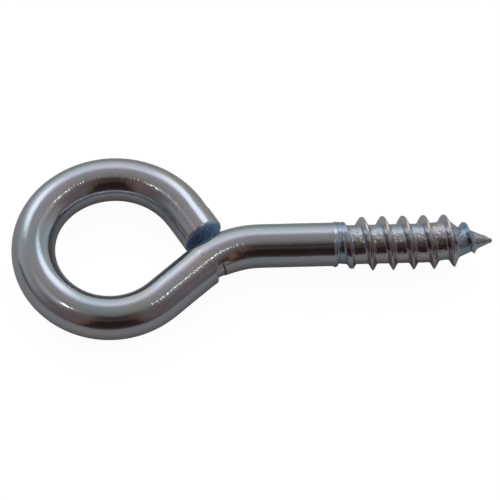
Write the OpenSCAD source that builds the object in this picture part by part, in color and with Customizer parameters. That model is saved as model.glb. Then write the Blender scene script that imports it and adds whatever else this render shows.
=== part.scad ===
// Screw eye: one length of steel wire, bent into an open eye at one end and
// rolled into a right-hand wood-screw thread with a gimlet point at the other.
//
// Frame: the screw eye lies flat. The shank runs along X, with the point
// towards +X, and the eye lies in the XY plane at Z = 0. The origin is on the
// shank's axis, on the plane where the plain shank ends and the thread starts.

/* [Wire] */
// Diameter of the wire that the whole piece is bent from
wire_d = 5.5; // [5.3:0.1:6]
// Step in the wire's radius where a forming tool gripped it
grip_step = 0.02; // [0.01:0.01:0.05]

/* [Eye] */
// Centreline radius of the half circle that is next to the leg
near_bend_r = 9.6; // [8.6:0.1:11]
// Centreline radius of the rest of the eye, up to its cut end
far_bend_r = 10.5; // [9.5:0.1:12]
// Angle that the rest of the eye turns through, in degrees
far_bend_angle = 99.5; // [90:0.5:110]
// Gap between the cut end of the wire and the neck that it closes against
end_gap = 0.1; // [0.05:0.05:2]

/* [Neck] */
// Centreline radius of the bend between the shank and the eye
neck_bend_r = 10.7; // [8:0.1:12]
// Angle of the neck bend, in degrees
neck_angle = 40.5; // [36:0.5:46]
// Straight length of wire between the neck bend and the eye
leg_length = 7; // [6:0.5:9]

/* [Shank] */
// Plain shank between the neck bend and the thread
shank_length = 10; // [6:0.1:30]
// Bevel on the shank's edge where the thread starts
shank_bevel = 0.15; // [0.05:0.05:0.15]

/* [Thread] */
// Distance from one turn of the thread to the next
thread_pitch = 2.6; // [2.2:0.1:3]
// Diameter over the thread's crests
thread_major_d = 6.9; // [6.3:0.1:7.5]
// Diameter at the bottom of the thread
thread_root_d = 4.9; // [4:0.1:4.9]
// Width of the narrow land along the crest
thread_land = 0.16; // [0.1:0.02:0.3]
// Angle between the two flanks of the thread, in degrees
thread_angle = 60; // [40:5:60]
// Where the crest leaves the shank's end, in degrees about +X from +Y
thread_clock = -50; // [-180:5:180]
// Length over which the thread grows to its full height
thread_run_in = 4.4; // [3:0.1:6]
// Threaded length before the point starts to taper
thread_length = 14.4; // [12:0.1:40]

/* [Point] */
// Length of the tapered gimlet point
point_length = 5.3; // [4.5:0.1:7]
// Diameter of the blunt tip
tip_d = 0.6; // [0.4:0.1:1]
// How much of the point carries the thread
point_thread_length = 3.8; // [3:0.1:4]

/* [Hidden] */
$fn = 96;

wire_r = wire_d / 2;
leg_r = wire_r - grip_step;
tail_r = leg_r - grip_step;
grip_depth = 0.05;

// Where the far bend ends, seen from the start of the leg with the leg along X
far_centre = [leg_length, far_bend_r - 2 * near_bend_r];
tail_start = far_centre + polar(far_bend_r, -90 - far_bend_angle);
tail_direction = polar(1, -180 - far_bend_angle);

// The tail runs on until its flat end is end_gap off the outside of the neck bend.
neck_centre = [0, neck_bend_r];
tail_length = (neck_centre - tail_start) * tail_direction - neck_bend_r - wire_r - end_gap;

// Thread: four strands run side by side along the helix. Two of them bound the
// land on the crest, and two bound the root.
steps_per_turn = 40;
major_r = thread_major_d / 2;
root_r = thread_root_d / 2;
half_land = thread_land / 2 / thread_pitch;
flank = (major_r - root_r) * tan(thread_angle / 2) / thread_pitch;
strand_phase = [-half_land, half_land, half_land + flank, 1 - half_land - flank];
strand_is_crest = [true, true, false, false];
strands = len(strand_phase);

// The first turns are buried in the shank. The last turns close up at the tip.
buried_turns = 1.2;
closing_turns = 3;
tip_x = thread_length + point_length;
bare_x = thread_length + point_thread_length;
bare_turn = bare_x / thread_pitch;
last_step = ceil((buried_turns + bare_turn + closing_turns) * steps_per_turn);
tip_turn = last_step / steps_per_turn - buried_turns + 1;
run_in_r = root_r + 0.05;

function polar(r, a) = r * [cos(a), sin(a)];

function smooth(t) = t <= 0 ? 0 : t >= 1 ? 1 : t * t * (3 - 2 * t);

// Distance along the shank of a point that is so many turns along the helix
function helix_x(turn) =
    turn <= bare_turn ? turn * thread_pitch
    : tip_x - (tip_x - bare_x) * pow((tip_turn - turn) / (tip_turn - bare_turn), 2);

// Radius of the core: straight as far as the point, then a cone with a blunt tip
function core_r(x) =
    let (from_tip = tip_x - x,
         cone = (x - thread_length) / (point_length - tip_d / 2))
    x <= thread_length ? root_r
    : from_tip > tip_d / 2 ? root_r + (tip_d / 2 - root_r) * cone
    : sqrt(from_tip * (tip_d - from_tip));

// Radius of the crest: it grows out of the shank and fades out along the point
function crest_r(x) =
    let (buried = root_r + (run_in_r - root_r) * max(0, 1 + x / thread_pitch),
         grown = run_in_r + (major_r - run_in_r) * pow(min(1, x / thread_run_in), 0.6),
         left = 1 - smooth((x - thread_length) / point_thread_length))
    x <= 0 ? buried : core_r(x) + (grown - root_r) * left;

function strand_point(strand, step) =
    let (turn = step / steps_per_turn - buried_turns,
         x = helix_x(turn + strand_phase[strand]),
         r = strand_is_crest[strand] ? crest_r(x) : core_r(x))
    concat([x], polar(r, 360 * turn + thread_clock));

// Straight wire along X. What follows it starts at its end.
module straight(r, length) {
    rotate([0, 90, 0])
        cylinder(r = r, h = length);
    translate([length, 0, 0])
        children();
}

// Wire that sets out along X and turns to the left, or to the right for a
// negative angle. What follows it starts at its end.
module bend(r, bend_r, angle) {
    side = sign(angle);
    translate([0, side * bend_r, 0]) {
        rotate_extrude(angle = angle, start = -90 * side)
            translate([bend_r, 0])
                circle(r = r);
        rotate([0, 0, angle])
            translate([0, -side * bend_r, 0])
                children();
    }
}

// What follows starts a little inside the end of the wire before it, where the
// grip of the forming tool left a step.
module gripped() {
    translate([-grip_depth, 0, 0])
        children();
}

// The open ring: a half circle, a wider arc and a straight tail, cut off square
module eye_ring() {
    bend(leg_r, near_bend_r, -180)
        bend(leg_r, far_bend_r, -far_bend_angle)
            gripped()
                straight(tail_r, tail_length + grip_depth);
}

// The swan neck, which brings the middle of the ring onto the shank's axis
module neck() {
    bend(wire_r, neck_bend_r, neck_angle)
        gripped()
            straight(leg_r, leg_length + grip_depth)
                children();
}

// The plain round shank, seen from its bevelled end
module shank() {
    rotate([0, 90, 0])
        cylinder(r1 = wire_r - shank_bevel, r2 = wire_r, h = shank_bevel);
    translate([shank_bevel, 0, 0])
        straight(wire_r, shank_length - shank_bevel)
            children();
}

// The rolled thread and its gimlet point, as one skin that winds along the helix
module thread_and_point() {
    helix_steps = last_step + steps_per_turn;
    helix_points = [for (step = [0:helix_steps]) for (strand = [0:strands - 1]) strand_point(strand, step)];
    buried_middle = len(helix_points);
    tip = buried_middle + 1;
    middles = [[-buried_turns * thread_pitch / 2, 0, 0], [tip_x, 0, 0]];

    // The strand after the last one is the first strand, one turn further on.
    function at(strand, step) =
        strand < strands ? step * strands + strand : (step + steps_per_turn) * strands;

    skin = [for (step = [0:last_step - 1]) for (strand = [0:strands - 1])
        each [[at(strand, step), at(strand + 1, step + 1), at(strand, step + 1)],
              [at(strand, step), at(strand + 1, step), at(strand + 1, step + 1)]]];
    buried_rim = concat([for (step = [steps_per_turn:-1:0]) at(0, step)],
                        [for (strand = [1:strands]) at(strand, 0)]);
    tip_rim = concat([for (step = [last_step:helix_steps]) at(0, step)],
                     [for (strand = [strands - 1:-1:0]) at(strand, last_step)]);
    buried_end = [for (i = [1:len(buried_rim) - 1]) [buried_middle, buried_rim[i], buried_rim[i - 1]]];
    tip_end = [for (i = [1:len(tip_rim) - 1]) [tip, tip_rim[i], tip_rim[i - 1]]];
    polyhedron(points = concat(helix_points, middles), faces = concat(skin, buried_end, tip_end));
}

module screw_eye() {
    color([0.64, 0.65, 0.69]) {
        thread_and_point();
        rotate([0, 0, 180])
            shank()
                neck()
                    eye_ring();
    }
}

screw_eye();
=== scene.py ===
"""Screw eye of zinc-plated steel wire: the fine surface that stands for the CAD solid, its finish, and the
studio that it lies in. Lengths are millimetres until a mesh is made, and angles are degrees."""
import math

import bpy
import numpy as np
from mathutils import Matrix, Vector, noise


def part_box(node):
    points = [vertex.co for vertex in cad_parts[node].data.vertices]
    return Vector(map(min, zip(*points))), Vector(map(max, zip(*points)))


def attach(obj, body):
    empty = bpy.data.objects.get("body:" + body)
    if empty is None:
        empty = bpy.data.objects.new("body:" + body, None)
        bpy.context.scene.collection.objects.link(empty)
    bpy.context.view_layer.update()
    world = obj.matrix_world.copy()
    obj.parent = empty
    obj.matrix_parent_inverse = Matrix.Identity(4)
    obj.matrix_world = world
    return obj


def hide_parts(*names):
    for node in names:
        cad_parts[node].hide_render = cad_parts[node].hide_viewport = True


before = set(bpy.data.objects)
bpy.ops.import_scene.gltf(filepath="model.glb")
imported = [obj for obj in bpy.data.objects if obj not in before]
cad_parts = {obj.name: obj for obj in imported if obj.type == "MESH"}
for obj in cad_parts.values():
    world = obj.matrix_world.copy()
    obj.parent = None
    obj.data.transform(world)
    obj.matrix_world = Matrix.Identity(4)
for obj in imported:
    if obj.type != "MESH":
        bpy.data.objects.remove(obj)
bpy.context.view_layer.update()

MM = 0.001
SEED = 7

# ---------------------------------------------------------------- driving sizes, as in the CAD part
# s runs along the wire's centreline from the end of the shank to the cut end, and x along the thread.
# theta runs round the wire, from the inner side of the ring towards +Z.
low, high = (np.array(corner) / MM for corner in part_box("screw_eye"))
MAJOR_R = high[2]
TIP_X = high[0]

WIRE_R = 2.75
GRIP_STEP, GRIP_SOFT = 0.02, 0.5
SHANK = 10.0
NECK_R, NECK_ANGLE = 10.7, 40.5
LEG = 7.0
NEAR_R, NEAR_ANGLE = 9.6, 180.0
FAR_R, FAR_ANGLE = 10.5, 99.5
END_GAP = 0.1

PITCH = 2.6
ROOT_R = 2.45
LAND = 0.16
FLANK_TAN = math.tan(math.radians(30))
THREAD_CLOCK = -50.0
TAPER_X = 14.4
TIP_R = 0.3

# ---------------------------------------------------------------- how finely the surface is divided
WIRE_COLUMNS = 100
THREAD_COLUMNS = 2 * WIRE_COLUMNS
RING_STEP = 0.3
MARK_STEP, MARK_MARGIN, GRIP_MARGIN = 0.06, 0.5, 1.0
SHEAR_RINGS = 14
RIM_TURNS = (15, 30, 45, 60, 75, 90)
LAST_WIRE_S = 1.3
SHANK_END_S = (1.0, 0.8, 0.65, 0.52, 0.4, 0.32, 0.25, 0.18, 0.12, 0.07, 0.03, 0.0)
FOOT_X, FOOT_SHARES = 0.05, (0.35, 0.7, 1.0)
LAND_ROW, FLANK_ROWS, ROOT_ROWS = 0.012, 8, 6
CONE_RINGS = 7
TIP_TURNS = (15, 30, 45, 60, 75, 85)


def smooth(t):
    t = np.clip(t, 0, 1)
    return t * t * (3 - 2 * t)


def bump(t):
    """1 at t = 0, falling to nothing by about t = 2."""
    return np.exp(-t * t)


def beyond(s, start, soft):
    """0 before start and 1 beyond it, with an edge that is so soft."""
    return smooth((s - start) / soft + 0.5)


def between(s, start, end, soft):
    """1 from start to end, with edges that are so soft."""
    return beyond(s, start, soft) * beyond(-s, -end, soft)


def angle_from(theta, middle):
    return (theta - middle + 180) % 360 - 180


def round_wire(theta, middle, spread):
    """1 at one side of the wire, falling to nothing at about twice the spread on both sides of it."""
    return bump(angle_from(theta, middle) / spread)


def smooth_max(a, b, width):
    h = np.clip(width - np.abs(a - b), 0, None) / width
    return np.maximum(a, b) + h * h * width / 4


def smooth_min(a, b, width):
    return -smooth_max(-a, -b, width)


def ripple(points, scale, octaves=2):
    """Smooth noise between about -1 and 1 at each of the points."""
    offset = Vector((SEED, 2 * SEED, 3 * SEED))
    scaled = np.asarray(points) * scale
    return np.array([noise.fractal(Vector(p) + offset, 1.0, 2.0, octaves) for p in scaled.reshape(-1, 3)])


# ---------------------------------------------------------------- the wire's centreline
# A bend to the left has a positive curvature. Real bends start and end softly, so the curvature is
# averaged over EASE.
EASE = 2.4
FINE = 0.02
arc = math.radians
runs = [(SHANK, 0.0),
        (NECK_R * arc(NECK_ANGLE), 1 / NECK_R),
        (LEG, 0.0),
        (NEAR_R * arc(NEAR_ANGLE), -1 / NEAR_R),
        (FAR_R * arc(FAR_ANGLE), -1 / FAR_R)]
NECK_START = SHANK
LEG_START = NECK_START + runs[1][0]
RING_START = LEG_START + LEG
FAR_START = RING_START + runs[3][0]
TAIL_START = FAR_START + runs[4][0]
LONGEST_TAIL = 8.0

path_s = np.arange(0, TAIL_START + LONGEST_TAIL, FINE)
curvature = np.zeros_like(path_s)
run_start = 0.0
for run_length, run_curvature in runs:
    curvature[(path_s >= run_start) & (path_s < run_start + run_length)] = run_curvature
    run_start += run_length
kernel = np.ones(round(EASE / FINE)) * FINE / EASE
curvature = np.convolve(np.pad(curvature, len(kernel) // 2, mode="edge"), kernel, mode="same")
curvature = curvature[len(kernel) // 2:][:len(path_s)]
heading = math.pi + np.concatenate([[0], np.cumsum(curvature[:-1] * FINE)])
path_x = np.concatenate([[0], np.cumsum(np.cos(heading[:-1]) * FINE)])
path_y = np.concatenate([[0], np.cumsum(np.sin(heading[:-1]) * FINE)])

# The tail runs on until its cut end is END_GAP off the outside of the neck bend.
tail_x, tail_y, tail_heading = (np.interp(TAIL_START, path_s, v) for v in (path_x, path_y, heading))
to_neck = (-SHANK - tail_x) * math.cos(tail_heading) + (-NECK_R - tail_y) * math.sin(tail_heading)
CUT_S = TAIL_START + to_neck - NECK_R - WIRE_R - END_GAP


def wire_point(s, theta, r):
    """Points of the wire at s and theta, r off its centreline."""
    x, y, h = (np.interp(s, path_s, v) for v in (path_x, path_y, heading))
    side_x, side_y = np.sin(h), -np.cos(h)
    across = r * np.cos(np.radians(theta))
    return np.stack([x + across * side_x, y + across * side_y, r * np.sin(np.radians(theta))], axis=-1)


# ---------------------------------------------------------------- marks that the tools left on the wire
# The forming nib pressed the inner side of the neck. Its mark deepens from NIB_START to NIB_END, with a
# crease across it, a flat pad beyond the crease and a groove along its top edge. The metal that it pushed
# on stands up just beyond it.
NIB_START, NIB_END, NIB_EDGE = 12.4, 17.3, 0.42
NIB_SIDE, NIB_REACH, NIB_SOFT = 195.0, 68.0, 18.0
NIB_DEPTH, PAD_DEPTH, PAD_SOFT = 0.44, 0.08, 0.15
NIB_TOP, NIB_SLANT, NIB_SLANT_REACH = 127.0, 0.7, 25.0
GROOVE_START, GROOVE_END, GROOVE_DEPTH, GROOVE_SPREAD = 13.2, 16.6, 0.05, 6.0
CREASE_S, CREASE_DEPTH, CREASE_SPREAD = 15.8, 0.13, 0.10
PUSHED_UP, PUSHED_FADE = 0.06, 1.8

# The die that closed the ring held the outer side of the tail and left a groove at the edge of its grip.
TAIL_GRIP, TAIL_GRIP_SOFT, TAIL_RISE = 74.25, 0.25, 0.07
TAIL_GROOVE, TAIL_GROOVE_SPREAD = 0.03, 0.3

# The rolled lip at the end of the shank leans towards the thread at LIP_SIDE, where it is also lower.
LIP_S, LIP_SPREAD, LIP_HEIGHT, LIP_ROUND = 0.32, 0.22, 0.16, 0.07
LIP_SIDE, LIP_LEAN, LIP_LOWER = 27.0, 0.07, 0.3

# The shear left a torn face that slants back towards the top, and a rim that is rounder on the outer side.
SLANT, SHEAR_RELIEF = 0.6, 0.05
RIM_ROUND, RIM_OUTER, RIM_UNEVEN = 0.22, 0.12, 0.05

WAVINESS = 0.008


def nib_marks(theta):
    """How fully the forming nib touched the wire, 0 to 1, and where its mark ends along the wire."""
    nib = smooth((NIB_REACH - np.abs(angle_from(theta, NIB_SIDE))) / NIB_SOFT)
    nib_end = NIB_END - NIB_SLANT * np.clip((NIB_TOP + NIB_SLANT_REACH - theta) / NIB_SLANT_REACH, 0, 1)
    return nib, nib_end


def wire_radius(s, theta):
    """The drawn wire with the marks that the bending and rolling tools left on it."""
    r = WIRE_R - GRIP_STEP * beyond(s, LEG_START, GRIP_SOFT) - GRIP_STEP * beyond(s, TAIL_START, GRIP_SOFT)

    nib, nib_end = nib_marks(theta)
    deepening = np.clip((s - NIB_START) / (nib_end - NIB_START), 0, 1) ** 2
    r = r - NIB_DEPTH * deepening * beyond(-s, -nib_end, NIB_EDGE) * nib
    r = r - PAD_DEPTH * between(s, CREASE_S, nib_end, PAD_SOFT) * nib
    r = r - CREASE_DEPTH * bump((s - CREASE_S) / CREASE_SPREAD) * nib
    groove = between(s, GROOVE_START, GROOVE_END, 0.8) * round_wire(theta, NIB_TOP, GROOVE_SPREAD)
    r = r - GROOVE_DEPTH * groove
    fading = np.exp(-np.clip(s - nib_end, 0, None) / PUSHED_FADE)
    r = r + PUSHED_UP * beyond(s, nib_end, NIB_EDGE) * fading * nib

    r = r + TAIL_RISE * beyond(s, TAIL_GRIP, TAIL_GRIP_SOFT) * round_wire(theta, 180, 50)
    edge = bump((s - TAIL_GRIP + TAIL_GRIP_SOFT) / TAIL_GROOVE_SPREAD)
    r = r - TAIL_GROOVE * edge * round_wire(theta, 170, 40)

    lip_s = LIP_S - LIP_LEAN * (1 + np.cos(np.radians(theta - LIP_SIDE)))
    lip_height = LIP_HEIGHT * (1 - LIP_LOWER * round_wire(theta, LIP_SIDE, 60))
    return r + lip_height * bump((s - lip_s) / LIP_SPREAD)


# ---------------------------------------------------------------- the rolled thread and its point
# The crest starts a little before the shank's end, and while it grows its land is tilted and leans towards
# the shank. It fades out along the point, and the cone beyond BARE_X has no thread.
RUN_IN, RUN_IN_BEFORE, RUN_IN_POWER = 4.2, 0.3, 1.6
RUN_IN_TILT, RUN_IN_LEAN = 0.25, 0.30
RUN_OUT, RUN_OUT_POWER = 3.8, 2.4
BARE_X = 18.7

# Where the thread leaves the shank, the metal between its first turn and the lip stands as high as both.
# It lies behind the crest, and it ends at BANK_END and where the crest is past BANK_CREST.
BANK_END, BANK_HEIGHT = 1.4, 0.10
BANK_CREST, BANK_FADE = 1.45, 0.9
BANK_BEHIND, BANK_SOFT = 0.275, 0.35

# How round the ridge is at its land and at its foot, and how much rounder at the run-in and on the point.
LAND_ROUND, RUN_IN_ROUND = 0.05, 0.1
FOOT_ROUND, POINT_ROUND, POINT_ROUND_OVER = 0.12, 0.2, 1.5

# The rolled core isn't quite true. It is pinched where the point starts, and it sways along the thread.
PINCH_X, PINCH_SPREAD, PINCH_DEPTH, PINCH_SIDE, PINCH_REACH = 15.4, 0.8, 0.26, 30.0, 110.0
SWAY_SIDE = 207.0
SWAY_X = (0.3, 1.5, 11.5, 13.8, 15.5, 17.0)
SWAY = (0, 0.11, 0.11, -0.18, 0.02, 0)

# Rolling left the surface crumpled in the roots and uneven on the crests.
ROOT_CRUMPLE, CREST_WEAR = 0.008, 0.04


def core_radius(x, theta):
    """The core: straight as far as the point, then a pinched cone with a round tip."""
    from_tip = TIP_X - x
    cone = ROOT_R + (TIP_R - ROOT_R) * (x - TAPER_X) / (TIP_X - TIP_R - TAPER_X)
    pinch = PINCH_DEPTH * bump((x - PINCH_X) / PINCH_SPREAD) * round_wire(theta, PINCH_SIDE, PINCH_REACH)
    core = np.where(x < TAPER_X, ROOT_R, cone) - pinch
    ball = np.sqrt(np.clip(from_tip * (2 * TIP_R - from_tip), 0, None))
    return np.where(from_tip < TIP_R, ball, core)


def thread_shape(x, theta):
    """Radius of the core with its ridge, and how far up the ridge that is, 0 to 1."""
    core = core_radius(x, theta)
    height = MAJOR_R - ROOT_R
    off_crest = ((x / PITCH - (theta - THREAD_CLOCK) / 360 + 0.5) % 1 - 0.5) * PITCH
    crest_x = x - off_crest
    grown = 1 - np.clip(1 - (crest_x + RUN_IN_BEFORE) / RUN_IN, 0, 1) ** RUN_IN_POWER
    left = 1 - np.clip((crest_x - TAPER_X) / RUN_OUT, 0, 1) ** RUN_OUT_POWER
    off_ridge = off_crest + RUN_IN_LEAN * (1 - grown)
    land_r = core + height * np.minimum(grown, left) + RUN_IN_TILT * (1 - grown) * off_ridge
    flank_r = core + height * left - np.clip(np.abs(off_ridge) - LAND / 2, 0, None) / FLANK_TAN
    ridge = smooth_min(land_r, flank_r, LAND_ROUND + RUN_IN_ROUND * (1 - grown))

    core = core + np.interp(x, SWAY_X, SWAY) * np.cos(np.radians(theta - SWAY_SIDE))
    r = smooth_max(core, ridge, FOOT_ROUND + POINT_ROUND * smooth((x - TAPER_X) / POINT_ROUND_OVER))
    banked = beyond(-crest_x, -BANK_CREST, BANK_FADE) * beyond(-off_crest, BANK_BEHIND, BANK_SOFT)
    bank_r = core + (WIRE_R + BANK_HEIGHT - core) * banked * (x < BANK_END)
    r = smooth_max(r, bank_r, 0.1)
    return r, np.clip((r - core) / height, 0, 1)


# ---------------------------------------------------------------- where the finish changes
# The bending rolls left fine cross marks on top of the leg and on the far bend: start, end and soft along
# the wire, then side and spread round it.
CHATTER_TRACKS = [(12, 27, 3, 108, 15), (53, 77, 4, 70, 13)]

# The coat is yellower on the outer side of the tail and at the top of the nib's mark: share, then place
# and spread along the wire, then side and spread round it.
STRAW_SPOTS = [(0.9, 70, 3, 172, 45), (1.0, 14, 1.2, 135, 14)]

# It is bluer at the start of the thread and on the last turn before the point: share, place and spread
# along X.
TEAL_BANDS = [(0.8, 0.5, 0.9), (1.0, 16.3, 1.0)]

# Painted shade darkens the coat in the neck's creases and at the top edge of the nib's mark.
CREASE_SHADE_SPREAD, CREASE_SHADE_AT_NIB_END = 0.13, 0.6
SHADED_TOP_EDGE = (14.7, 16.7, 0.6)

# The coat in the roots is crackled, most of all on the upper side.
CRACKLED_SIDE, CRACKLED_REACH, CRACKLED_LEAST = 80, 26, 0.3


def chatter(s, theta):
    return sum(between(s, start, end, soft) * round_wire(theta, side, spread)
               for start, end, soft, side, spread in CHATTER_TRACKS)


def straw(s, theta):
    return sum(share * bump((s - middle) / length) * round_wire(theta, side, spread)
               for share, middle, length, side, spread in STRAW_SPOTS)


def teal(x):
    return sum(share * bump((x - middle) / length) for share, middle, length in TEAL_BANDS)


# How much painted shade darkens the coat in the neck's creases and at the top edge of the nib's mark, 0 to
# 1.
def dirt(s, theta):
    nib, nib_end = nib_marks(theta)
    creases = bump((s - CREASE_S) / CREASE_SHADE_SPREAD) + CREASE_SHADE_AT_NIB_END * bump((s - nib_end) / CREASE_SHADE_SPREAD)
    top_edge = round_wire(theta, NIB_TOP + 3, 6) * between(s, *SHADED_TOP_EDGE)
    return np.clip(creases * nib + top_edge, 0, 1)


def crackled(theta):
    return CRACKLED_LEAST + (1 - CRACKLED_LEAST) * round_wire(theta, CRACKLED_SIDE, CRACKLED_REACH)


# ---------------------------------------------------------------- the mesh
# For the finish, each vertex also keeps its place on the wire, which is along it and then across it in two
# directions, and these marks, from 0 to 1. rise is how far up the thread's ridge it is.
MARKS = ("threaded", "rise", "sheared", "chattered", "dirty", "straw", "teal", "crackled")
vertices = []
wire_places = []
marks = {name: [] for name in MARKS}
faces = []


def around(along, theta, r):
    angle = np.radians(theta)
    return np.stack(np.broadcast_arrays(along, r * np.cos(angle), r * np.sin(angle)), axis=-1)


def add_vertices(points, places, **given):
    """Adds vertices, whose marks are 0 unless they are given. Returns the vertices' numbers."""
    first = len(vertices)
    vertices.extend(points.tolist())
    wire_places.extend(places.tolist())
    for name in MARKS:
        marks[name].extend(np.broadcast_to(given.get(name, 0.0), len(points)).tolist())
    return list(range(first, len(vertices)))


def join_rings(a, b):
    """Faces between two rings, b further towards the tip, with as many or twice as many points as a."""
    each = len(b) // len(a)
    for j in range(len(a)):
        opposite = [b[(j * each + i) % len(b)] for i in range(each + 1)]
        faces.append([a[j], a[(j + 1) % len(a)]] + opposite[::-1])


wire_theta = np.arange(WIRE_COLUMNS) * 360 / WIRE_COLUMNS
thread_theta = np.arange(THREAD_COLUMNS) * 360 / THREAD_COLUMNS


def wire_ring(s, r, theta=wire_theta, sheared=0.0):
    return add_vertices(wire_point(s, theta, r), around(-s, theta, r), sheared=sheared, teal=teal(-s),
                        chattered=chatter(s, theta), dirty=dirt(s, theta), straw=straw(s, theta))


def cut_back(r):
    """How far the slanted cut is set back at the radius r of each column."""
    return SLANT / 2 * (1 + np.sin(np.radians(wire_theta)) * r / WIRE_R)


def cut_face(face_r):
    """The torn face, from its middle out to face_r. Returns its outer ring."""
    middle_s = CUT_S - SLANT / 2
    middle_point = wire_point(middle_s, 0, 0)[None, :]
    middle = add_vertices(middle_point, around(-middle_s, 0, 0)[None, :], sheared=1.0)[0]
    ring = None
    for share in np.linspace(0, 1, SHEAR_RINGS + 1)[1:]:
        r = face_r * share
        torn = np.abs(ripple(around(0, wire_theta, r) * (1, 0.5, 2.2), 1.1)) * (1 - share ** 6)
        outer = wire_ring(CUT_S - cut_back(r) - SHEAR_RELIEF * torn, r, sheared=1.0)
        if ring is None:
            faces.extend([middle, outer[(j + 1) % WIRE_COLUMNS], outer[j]] for j in range(WIRE_COLUMNS))
        else:
            join_rings(ring, outer)
        ring = outer
    return ring


def cut_end():
    """The sheared end of the wire, with its rolled-over rim. Returns its last ring."""
    over = RIM_ROUND + RIM_OUTER * (0.5 - 0.5 * np.cos(np.radians(wire_theta)))
    over = over + RIM_UNEVEN * ripple(around(0, wire_theta, 1), 1.3)
    face_r = wire_radius(CUT_S, wire_theta) - over
    ring = cut_face(face_r)
    for turn in RIM_TURNS:
        turned = math.radians(turn)
        r = face_r + over * math.sin(turned)
        s = CUT_S - cut_back(r) - over * (1 - math.cos(turned))
        outer = wire_ring(s, r, sheared=max(0, 1 - turn / 60))
        join_rings(ring, outer)
        ring = outer
    return ring


def ring_places():
    """Where the wire's rings stand, from the cut end to the shank: closer where tools marked it."""
    places = [CUT_S - SLANT - MARK_MARGIN]
    while places[-1] > LAST_WIRE_S:
        s = places[-1]
        in_neck = CREASE_S - MARK_MARGIN < s < NIB_END + MARK_MARGIN
        marked = in_neck or TAIL_GRIP - GRIP_MARGIN < s < TAIL_GRIP + GRIP_MARGIN
        places.append(s - (MARK_STEP if marked else RING_STEP))
    return places


def wire_body(ring):
    """The bent wire from the cut end as far as the shank's end. Returns its last ring."""
    for s in ring_places():
        r = wire_radius(s, wire_theta)
        r = r + WAVINESS * ripple(around(-s, wire_theta, r) * (0.5, 1, 1), 0.45)
        nearer = wire_ring(s, r)
        join_rings(ring, nearer)
        ring = nearer
    return ring


def shank_end(ring):
    """The last of the shank with its lip, and the step down to the thread. Returns its last ring."""
    for s in SHANK_END_S:
        rounded = LIP_ROUND * (1 - np.sqrt(1 - np.clip(1 - s / LIP_ROUND, 0, 1) ** 2))
        r = wire_radius(s, thread_theta) - rounded
        nearer = wire_ring(s, r, thread_theta)
        join_rings(ring, nearer)
        ring = nearer
    rim_r = r
    for share in FOOT_SHARES:
        foot_r, rise = thread_shape(FOOT_X * share, thread_theta)
        r = rim_r + (np.minimum(foot_r, rim_r) - rim_r) * share
        points = around(FOOT_X * share, thread_theta, r)
        nearer = add_vertices(points, points, threaded=share, rise=rise, teal=teal(FOOT_X))
        join_rings(ring, nearer)
        ring = nearer
    return ring


def row_phases():
    """Where the rows of one turn lie, as shares of the pitch from one crest to the next."""
    land = LAND / 2 / PITCH
    flank = land + (MAJOR_R - ROOT_R) * FLANK_TAN / PITCH
    half = [0.0, 0.5 * land, land, land + LAND_ROW]
    half += list(np.linspace(land + LAND_ROW, flank, FLANK_ROWS + 1)[1:])
    half += list(np.linspace(flank, 0.5, ROOT_ROWS + 1)[1:])
    return np.array(half + [1 - p for p in half[-2:0:-1]])


def add_thread(x, theta):
    """Adds vertices of the thread's surface, crumpled in the roots and worn on the crests."""
    r, rise = thread_shape(x, theta)
    smooth_place = around(x, theta, r)
    crumple = ripple(smooth_place * (1, 0.8, 0.8), 2.2, 3)
    wear = np.abs(ripple(smooth_place, 0.9))
    r = r + ROOT_CRUMPLE * crumple * (1 - smooth(rise / 0.25)) * smooth((TIP_X - 1 - x) / 1.5)
    r = r - CREST_WEAR * wear * smooth((rise - 0.7) / 0.3)
    points = around(x, theta, r)
    return add_vertices(points, points, threaded=1.0, rise=rise, teal=teal(x), crackled=crackled(theta))


def threaded_length(ring, start_x, end_x):
    """Joins a ring to a new one at end_x by rows that run along the helix. Returns the new ring."""
    phases = row_phases()
    rows = len(phases)
    turns = range(-2, math.ceil(end_x / PITCH) + 2)
    clear = 0.02
    row_number = np.arange(len(turns) * rows)
    row_x = np.array([(turn + phase) * PITCH for turn in turns for phase in phases])
    columns = []
    for theta in thread_theta:
        x = row_x + (theta - THREAD_CLOCK) / 360 * PITCH
        kept = (x > start_x + clear) & (x < end_x - clear)
        added = add_thread(x[kept], np.full(kept.sum(), theta))
        columns.append(dict(zip(row_number[kept].tolist(), added)))
    # One turn further round, a row is the next turn's row.
    columns.append({row - rows: vertex for row, vertex in columns[0].items()})
    last = add_thread(np.full(THREAD_COLUMNS, end_x), thread_theta)
    for j in range(THREAD_COLUMNS):
        here, there = columns[j], columns[j + 1]
        beside = (j + 1) % THREAD_COLUMNS
        shared = sorted(set(here) & set(there))
        first, final = shared[0], shared[-1]
        faces.extend([here[k], there[k], there[k + 1], here[k + 1]] for k in shared[:-1])
        faces.append([ring[j], ring[beside]] + [there[k] for k in sorted(there) if k <= first]
                     + [here[k] for k in sorted(here, reverse=True) if k <= first])
        faces.append([here[k] for k in sorted(here, reverse=True) if k >= final]
                     + [there[k] for k in sorted(there) if k >= final] + [last[beside], last[j]])
    return last


def point_end(ring, start_x):
    """The bare cone beyond the thread, closed by a blunt round tip."""
    cone_x = list(np.linspace(start_x, TIP_X - TIP_R, CONE_RINGS + 1)[1:])
    ball_x = [TIP_X - TIP_R * (1 - math.sin(math.radians(turn))) for turn in TIP_TURNS]
    for x in cone_x + ball_x:
        nearer = add_thread(np.full(THREAD_COLUMNS, x), thread_theta)
        join_rings(ring, nearer)
        ring = nearer
    tip_point = np.array([[TIP_X, 0, 0]])
    tip = add_vertices(tip_point, tip_point, threaded=1.0)[0]
    faces.extend([ring[j], ring[(j + 1) % THREAD_COLUMNS], tip] for j in range(THREAD_COLUMNS))


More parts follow.
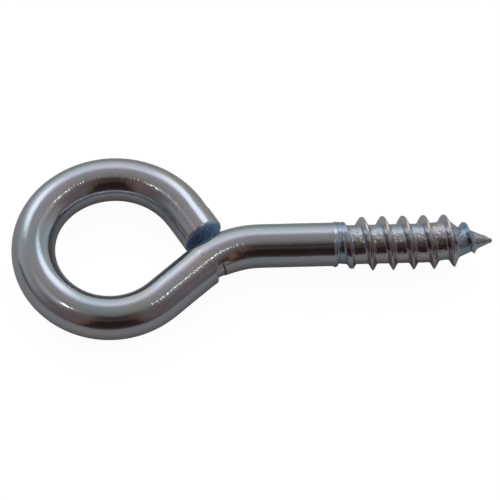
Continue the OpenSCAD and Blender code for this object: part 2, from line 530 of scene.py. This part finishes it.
def screw_eye_surface():
    """The whole screw eye as one closed mesh, from the cut end to the tip."""
    ring = wire_body(cut_end())
    ring = threaded_length(shank_end(ring), FOOT_X, BARE_X)
    point_end(ring, BARE_X)
    mesh = bpy.data.meshes.new("screw_eye_surface")
    mesh.from_pydata((np.array(vertices) * MM).tolist(), [], faces)
    mesh.polygons.foreach_set("use_smooth", [True] * len(mesh.polygons))
    place_layer = mesh.attributes.new("wire_place", "FLOAT_VECTOR", "POINT")
    place_layer.data.foreach_set("vector", np.array(wire_places, np.float32).ravel())
    for name, values in marks.items():
        mark_layer = mesh.attributes.new(name, "FLOAT", "POINT")
        mark_layer.data.foreach_set("value", np.array(values, np.float32))
    made = bpy.data.objects.new("screw_eye_surface", mesh)
    bpy.context.scene.collection.objects.link(made)
    return made


# ---------------------------------------------------------------- nodes for materials and the world
def node(tree, kind, inputs=None, **settings):
    """A node with its settings, whose inputs are values or the sockets that feed them."""
    made = tree.nodes.new("ShaderNode" + kind)
    for name, value in settings.items():
        setattr(made, name, value)
    for key, value in (inputs or {}).items():
        if isinstance(value, bpy.types.NodeSocket):
            tree.links.new(value, made.inputs[key])
        else:
            made.inputs[key].default_value = value
    return made


def math_node(tree, operation, *values, clamp=False):
    return node(tree, "Math", dict(enumerate(values)), operation=operation, use_clamp=clamp).outputs[0]


def step_node(tree, value, start, end):
    """0 before start and 1 after end, with a soft step between them."""
    inputs = {"Value": value, "From Min": start, "From Max": end}
    return node(tree, "MapRange", inputs, interpolation_type="SMOOTHSTEP").outputs["Result"]


def mix_colours(tree, share, a, b):
    """a, with so much of b in it. b is a socket or three values."""
    given = b if isinstance(b, bpy.types.NodeSocket) else (*b, 1)
    return node(tree, "Mix", {0: share, 6: a, 7: given}, data_type="RGBA").outputs[2]


def ramp_node(tree, value, stops):
    """Colours at places from 0 to 1."""
    ramp = node(tree, "ValToRGB", {"Fac": value})
    elements = ramp.color_ramp.elements
    while len(elements) < len(stops):
        elements.new(0.5)
    for element, (place, colour) in zip(elements, stops):
        element.position = place
        element.color = (*colour, 1)
    return ramp.outputs["Color"]


def noise_node(tree, vector, stretch, scale, detail=2.0, roughness=0.5):
    """Noise on the wire, with stretch as the share of the scale that counts along, across and across."""
    mapped = node(tree, "Mapping", {"Vector": vector, "Scale": tuple(scale * s for s in stretch)})
    return node(tree, "TexNoise", {"Vector": mapped.outputs[0], "Scale": 1.0, "Detail": detail,
                                   "Roughness": roughness}).outputs["Fac"]


def bump_node(tree, height, distance, normal=None):
    inputs = {"Height": height, "Distance": distance * MM, "Strength": 1.0}
    if normal is not None:
        inputs["Normal"] = normal
    return node(tree, "Bump", inputs).outputs["Normal"]


# ---------------------------------------------------------------- the finish
COAT = [(0.28, (0.55, 0.66, 0.70)), (0.43, (0.605, 0.66, 0.69)),
        (0.56, (0.635, 0.645, 0.70)), (0.72, (0.69, 0.655, 0.61))]
BLUE_FLANK = (0.52, 0.60, 0.76)
MAUVE_RIDGE = (0.74, 0.67, 0.68)
# A pale cream painted highlight along the thread's crests, standing in for their lit edge.
PAINTED_CREST_HIGHLIGHT = (0.78, 0.73, 0.64)
SHEARED_FACE = (0.40, 0.60, 0.86)
STRAW_TINT = (0.68, 0.60, 0.50)
TEAL_TINT = (0.43, 0.56, 0.66)
# Dark brown painted shade for the neck's creases and the top edge of the nib's mark.
CREASE_SHADE_TINT = (0.13, 0.10, 0.09)
SMOOTHEST, ROUGHEST = 0.11, 0.17
ROOT_ROUGHNESS, SHEARED_ROUGHNESS = -0.04, 0.32


def coat_colour(tree, place, mark, on_flank, on_crest):
    """A coat that is tinted in soft patches, and differently on the thread, the cut end and the marks,
    with a painted highlight on the crests and painted shade in the neck's creases.
    """
    colour = ramp_node(tree, noise_node(tree, place, (0.5, 1, 1), 0.28), COAT)
    for share, tint in ((math_node(tree, "MULTIPLY", on_flank, 0.5), BLUE_FLANK),
                        (step_node(tree, mark["rise"], 0.25, 0.6), MAUVE_RIDGE),
                        (math_node(tree, "MULTIPLY", on_crest, 0.7), PAINTED_CREST_HIGHLIGHT),
                        (math_node(tree, "MULTIPLY", mark["sheared"], 0.9), SHEARED_FACE),
                        (mark["straw"], STRAW_TINT),
                        (mark["teal"], TEAL_TINT),
                        (math_node(tree, "MULTIPLY", mark["dirty"], 0.8), CREASE_SHADE_TINT)):
        colour = mix_colours(tree, share, colour, tint)
    return colour


def coat_roughness(tree, place, mark, in_root):
    """Cloudy, glossier in the roots and much rougher on the sheared end."""
    cloud = noise_node(tree, place, (0.6, 1, 1), 0.9)
    limits = {"Value": cloud, "From Min": 0.3, "From Max": 0.7, "To Min": SMOOTHEST, "To Max": ROUGHEST}
    roughness = node(tree, "MapRange", limits).outputs["Result"]
    roughness = math_node(tree, "MULTIPLY_ADD", in_root, ROOT_ROUGHNESS, roughness)
    return math_node(tree, "MULTIPLY_ADD", mark["sheared"], SHEARED_ROUGHNESS, roughness)


def coat_relief(tree, place, mark, in_root):
    """Lines along the drawn wire, dimples, chatter, grain, and crackle in the roots and at the cut."""
    drawn = noise_node(tree, place, (0.12, 1, 1), 5.0)
    dimples = noise_node(tree, place, (1, 0.7, 0.7), 2.6)
    chatter_lines = noise_node(tree, place, (1, 0.3, 0.3), 2.8)
    grain = noise_node(tree, place, (1, 1, 1), 11.0, detail=3.0)
    crackle = noise_node(tree, place, (1, 1, 1), 2.2, detail=3.0, roughness=0.55)
    in_crackle = math_node(tree, "MULTIPLY", in_root, mark["crackled"])
    normal = None
    for height, distance in ((drawn, 0.002),
                             (dimples, 0.008),
                             (math_node(tree, "MULTIPLY", chatter_lines, mark["chattered"]), 0.06),
                             (grain, 0.001),
                             (math_node(tree, "MULTIPLY", crackle, in_crackle), 0.2),
                             (math_node(tree, "MULTIPLY", crackle, mark["sheared"]), 0.2)):
        normal = bump_node(tree, height, distance, normal)
    return normal


def zinc_plated_steel():
    """Glossy zinc with a blue passivation."""
    material = bpy.data.materials.new("zinc_plated_steel")
    material.use_nodes = True
    tree = material.node_tree
    place = node(tree, "Attribute", attribute_name="wire_place").outputs["Vector"]
    mark = {name: node(tree, "Attribute", attribute_name=name).outputs["Fac"] for name in MARKS}
    off_ridge = math_node(tree, "SUBTRACT", 1.0, step_node(tree, mark["rise"], 0.0, 0.15))
    in_root = math_node(tree, "MULTIPLY", mark["threaded"], off_ridge)
    on_crest = step_node(tree, mark["rise"], 0.75, 0.95)
    on_flank = math_node(tree, "SUBTRACT", step_node(tree, mark["rise"], 0.02, 0.25), on_crest, clamp=True)

    shader = tree.nodes["Principled BSDF"]
    shader.inputs["Metallic"].default_value = 1.0
    tree.links.new(coat_colour(tree, place, mark, on_flank, on_crest), shader.inputs["Base Color"])
    tree.links.new(coat_roughness(tree, place, mark, in_root), shader.inputs["Roughness"])
    tree.links.new(coat_relief(tree, place, mark, in_root), shader.inputs["Normal"])
    return material


surface = screw_eye_surface()
surface.data.materials.append(zinc_plated_steel())
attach(surface, "root")
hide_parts("screw_eye")


# ---------------------------------------------------------------- the studio
FLOOR_Z = low[2]

# The light from each direction is given by its pitch over the shank, from the zenith, positive to the back
# and negative to the front, and by its share to the side, -1 to 1 along X. Lists hold a pitch and a light,
# where 1 is as bright as the picture's white.
ROOM = [(-70, (0.13, 0.10, 0.10)), (-25, (0.15, 0.12, 0.12)), (0, (0.25, 0.23, 0.22)),
        (60, (0.42, 0.43, 0.44)), (92, (0.35, 0.35, 0.34))]
ROOM_ENDS = [(-60, (0.13, 0.12, 0.13)), (-20, (0.26, 0.26, 0.27)), (50, (0.36, 0.40, 0.41)),
             (92, (0.25, 0.28, 0.29))]
PANEL = [(30, (0.30, 0.27, 0.30)), (46, (0.82, 0.80, 0.93)), (66, (0.63, 0.70, 0.70)),
         (92, (0.40, 0.42, 0.41))]
# The flag is dark brown, with a paler band between its two halves.
FLAG = [(-92, (0.15, 0.12, 0.12)), (-80, (0.035, 0.02, 0.02)), (-50, (0.025, 0.01, 0.01)),
        (-39, (0.07, 0.055, 0.05)), (-27, (0.035, 0.025, 0.025)), (-10, (0.20, 0.18, 0.17))]
# Where the room's ends take over, how far the panel and the flag reach, and how their edges lean and fade
ENDS_FROM, ENDS_FULL = 0.70, 0.90
PANEL_PITCH, PANEL_SIDE, PANEL_TILT = (32, 92, 4), (-0.56, 0.36, 0.22), 14.0
FLAG_PITCH, FLAG_SIDE, FLAG_WIDENS = (-93, -15, 5), 0.03, 0.0057
FLAG_EDGE = (0.12, 0.07, 0.05)
FLAG_EDGE_FROM, FLAG_EDGE_FULL, FLAG_FROM, FLAG_FULL = 0.15, 0.05, 0.06, -0.05
FAR_LEFT, FAR_LEFT_FROM, FAR_LEFT_FULL = (0.11, 0.12, 0.12), -0.95, -0.985
# Bright places in the panel and glows round the lamps: light, side, pitch, and their spread in each
PANEL_GLOW, LAMP_GLOW = (1.2, 1.3, 1.4), (0.4, 0.38, 0.4)
GLOWS = [(PANEL_GLOW, 0.36, 48, 0.16, 19), (PANEL_GLOW, -0.47, 52, 0.18, 14),
         (LAMP_GLOW, 0.47, 10, 0.13, 14), (LAMP_GLOW, -0.50, 0, 0.13, 15)]
GLOW_REACH = 2.2


def pitch_place(angle):
    return (angle + 180) / 360


def light_along(tree, angle, stops):
    """The light of (pitch, light) stops at an angle."""
    place = math_node(tree, "MULTIPLY_ADD", angle, 1 / 360, 0.5)
    return ramp_node(tree, place, [(pitch_place(a), level) for a, level in stops])


def within(tree, value, start, end, soft):
    """1 from start to end, falling to 0 over soft on both sides."""
    off = math_node(tree, "ABSOLUTE", math_node(tree, "SUBTRACT", value, (start + end) / 2))
    half = (end - start) / 2
    return step_node(tree, off, half + soft, half)


def studio_light():
    """A grey room with a broad soft panel at the back and a dark flag in front, where the camera is."""
    world = bpy.data.worlds.new("studio")
    world.use_nodes = True
    tree = world.node_tree
    direction = node(tree, "TexCoord").outputs["Generated"]
    side, y, z = node(tree, "SeparateXYZ", {0: direction}).outputs
    pitch = math_node(tree, "MULTIPLY", math_node(tree, "ARCTAN2", y, z), 180 / math.pi)

    at_ends = step_node(tree, math_node(tree, "ABSOLUTE", side), ENDS_FROM, ENDS_FULL)
    light = mix_colours(tree, at_ends, light_along(tree, pitch, ROOM), light_along(tree, pitch, ROOM_ENDS))

    tilted = math_node(tree, "MULTIPLY_ADD", side, PANEL_TILT, pitch)
    facing_panel = within(tree, tilted, *PANEL_PITCH)
    on_panel = math_node(tree, "MULTIPLY", facing_panel, within(tree, side, *PANEL_SIDE))
    light = mix_colours(tree, on_panel, light, light_along(tree, tilted, PANEL))

    # The flag is wider towards the horizon than overhead.
    off_middle = math_node(tree, "ABSOLUTE", math_node(tree, "SUBTRACT", side, FLAG_SIDE))
    off_flag = math_node(tree, "MULTIPLY_ADD", pitch, FLAG_WIDENS, off_middle)
    facing_flag = within(tree, pitch, *FLAG_PITCH)
    near_flag = step_node(tree, off_flag, FLAG_EDGE_FROM, FLAG_EDGE_FULL)
    light = mix_colours(tree, math_node(tree, "MULTIPLY", facing_flag, near_flag), light, FLAG_EDGE)
    over_flag = step_node(tree, off_flag, FLAG_FROM, FLAG_FULL)
    on_flag = math_node(tree, "MULTIPLY", facing_flag, over_flag)
    light = mix_colours(tree, on_flag, light, light_along(tree, pitch, FLAG))

    for glow, glow_side, glow_pitch, side_spread, pitch_spread in GLOWS:
        u = math_node(tree, "MULTIPLY", math_node(tree, "SUBTRACT", side, glow_side), 1 / side_spread)
        v = math_node(tree, "MULTIPLY", math_node(tree, "SUBTRACT", pitch, glow_pitch), 1 / pitch_spread)
        off = math_node(tree, "MULTIPLY_ADD", u, u, math_node(tree, "MULTIPLY", v, v))
        light = mix_colours(tree, step_node(tree, off, GLOW_REACH, 0.0), light, glow)
    far_left = step_node(tree, side, FAR_LEFT_FROM, FAR_LEFT_FULL)
    light = mix_colours(tree, far_left, light, FAR_LEFT)
    tree.links.new(light, tree.nodes["Background"].inputs["Color"])
    return world


# Two small round lamps make the sparks along the wire. They stand in these directions from the ring.
LAMPS = {"lamp_left": (-0.39, -0.14, 0.91), "lamp_right": (0.34, 0.02, 0.94)}
LAMP_AIM = Vector((-20, 0, 0))
LAMP_AWAY, LAMP_SIZE, LAMP_WATTS = 600, 32, 0.03


def small_lamp(name, direction):
    lamp = bpy.data.lights.new(name, "AREA")
    lamp.shape = "DISK"
    lamp.size = LAMP_SIZE * MM
    lamp.energy = LAMP_WATTS
    lit = bpy.data.objects.new(name, lamp)
    bpy.context.scene.collection.objects.link(lit)
    out = Vector(direction).normalized()
    lit.location = (LAMP_AIM + out * LAMP_AWAY) * MM
    lit.rotation_euler = out.to_track_quat("Z", "Y").to_euler()


def lathe(name, profile, steps=96):
    """A surface turned round the Z axis from (radius, height) points, in millimetres."""
    points = [(0.0, 0.0, profile[0][1])]
    turned_faces = []
    for radius, z in profile[1:]:
        points += [(radius * math.cos(math.tau * j / steps), radius * math.sin(math.tau * j / steps), z)
                   for j in range(steps)]
    for j in range(steps):
        beside = (j + 1) % steps
        turned_faces.append((0, 1 + j, 1 + beside))
        for i in range(len(profile) - 2):
            inner, outer = 1 + i * steps, 1 + (i + 1) * steps
            turned_faces.append((inner + j, outer + j, outer + beside, inner + beside))
    turned = bpy.data.meshes.new(name)
    turned.from_pydata([tuple(c * MM for c in p) for p in points], [], turned_faces)
    turned.polygons.foreach_set("use_smooth", [True] * len(turned.polygons))
    made = bpy.data.objects.new(name, turned)
    bpy.context.scene.collection.objects.link(made)
    return made


def plain_material(name, colour, roughness, glow=0.0):
    material = bpy.data.materials.new(name)
    material.use_nodes = True
    shader = material.node_tree.nodes["Principled BSDF"]
    shader.inputs["Base Color"].default_value = (*colour, 1)
    shader.inputs["Roughness"].default_value = roughness
    shader.inputs["Emission Color"].default_value = (1, 1, 1, 1)
    shader.inputs["Emission Strength"].default_value = glow
    return material


# A pale floor that sweeps up into a wall far away. The metal mirrors a table top instead, which is lit by
# the studio alone and doesn't glow as a finished picture's background does.
FLAT, SWEEP, WALL = 900, 500, 2500
sweep = [(FLAT + SWEEP * math.sin(math.radians(a)), FLOOR_Z + SWEEP * (1 - math.cos(math.radians(a))))
         for a in range(0, 91, 10)]
floor = lathe("floor", [(0, FLOOR_Z)] + sweep + [(FLAT + SWEEP, WALL)])
floor.data.materials.append(plain_material("floor_paper", (0.2, 0.2, 0.2), 0.9, glow=0.95))
table = lathe("table_top", [(0, FLOOR_Z), (FLAT, FLOOR_Z)])
table.data.materials.append(plain_material("table_paper", (0.74, 0.745, 0.755), 0.5))
for stage, mirrored in ((floor, False), (table, True)):
    stage.visible_glossy = mirrored
    stage.visible_camera = not mirrored
    stage.visible_diffuse = False
    stage.visible_shadow = False

bpy.context.scene.world = studio_light()
for lamp_name, lamp_direction in LAMPS.items():
    small_lamp(lamp_name, lamp_direction)

# ---------------------------------------------------------------- the camera
# It stands over the ring, tilted and a little turned, as in the photograph.
CAMERA_AZIMUTH, CAMERA_ELEVATION, CAMERA_ROLL = 7.5, 63.12, -5.3
CAMERA_DISTANCE, CAMERA_LENS = 251.6, 144
CAMERA_TARGET = Vector((-11.04, -0.43, -0.18))


def add_camera():
    azimuth, elevation, roll = (math.radians(a) for a in (CAMERA_AZIMUTH, CAMERA_ELEVATION, CAMERA_ROLL))
    level = Vector((-math.sin(azimuth), -math.cos(azimuth), 0)) * math.cos(elevation)
    to_camera = level + Vector((0, 0, math.sin(elevation)))
    right = Vector((math.cos(azimuth), -math.sin(azimuth), 0))
    up = to_camera.cross(right)
    rolled_right = math.cos(roll) * right - math.sin(roll) * up
    rolled_up = math.sin(roll) * right + math.cos(roll) * up
    camera_data = bpy.data.cameras.new("camera")
    camera_data.lens = CAMERA_LENS
    camera_data.sensor_width = 36
    camera_data.clip_start = 0.01
    camera = bpy.data.objects.new("camera", camera_data)
    bpy.context.scene.collection.objects.link(camera)
    place = Matrix((rolled_right, rolled_up, to_camera)).transposed().to_4x4()
    place.translation = (CAMERA_TARGET + to_camera * CAMERA_DISTANCE) * MM
    camera.matrix_world = place
    bpy.context.scene.camera = camera


add_camera()
bpy.context.scene.view_settings.view_transform = "Standard"
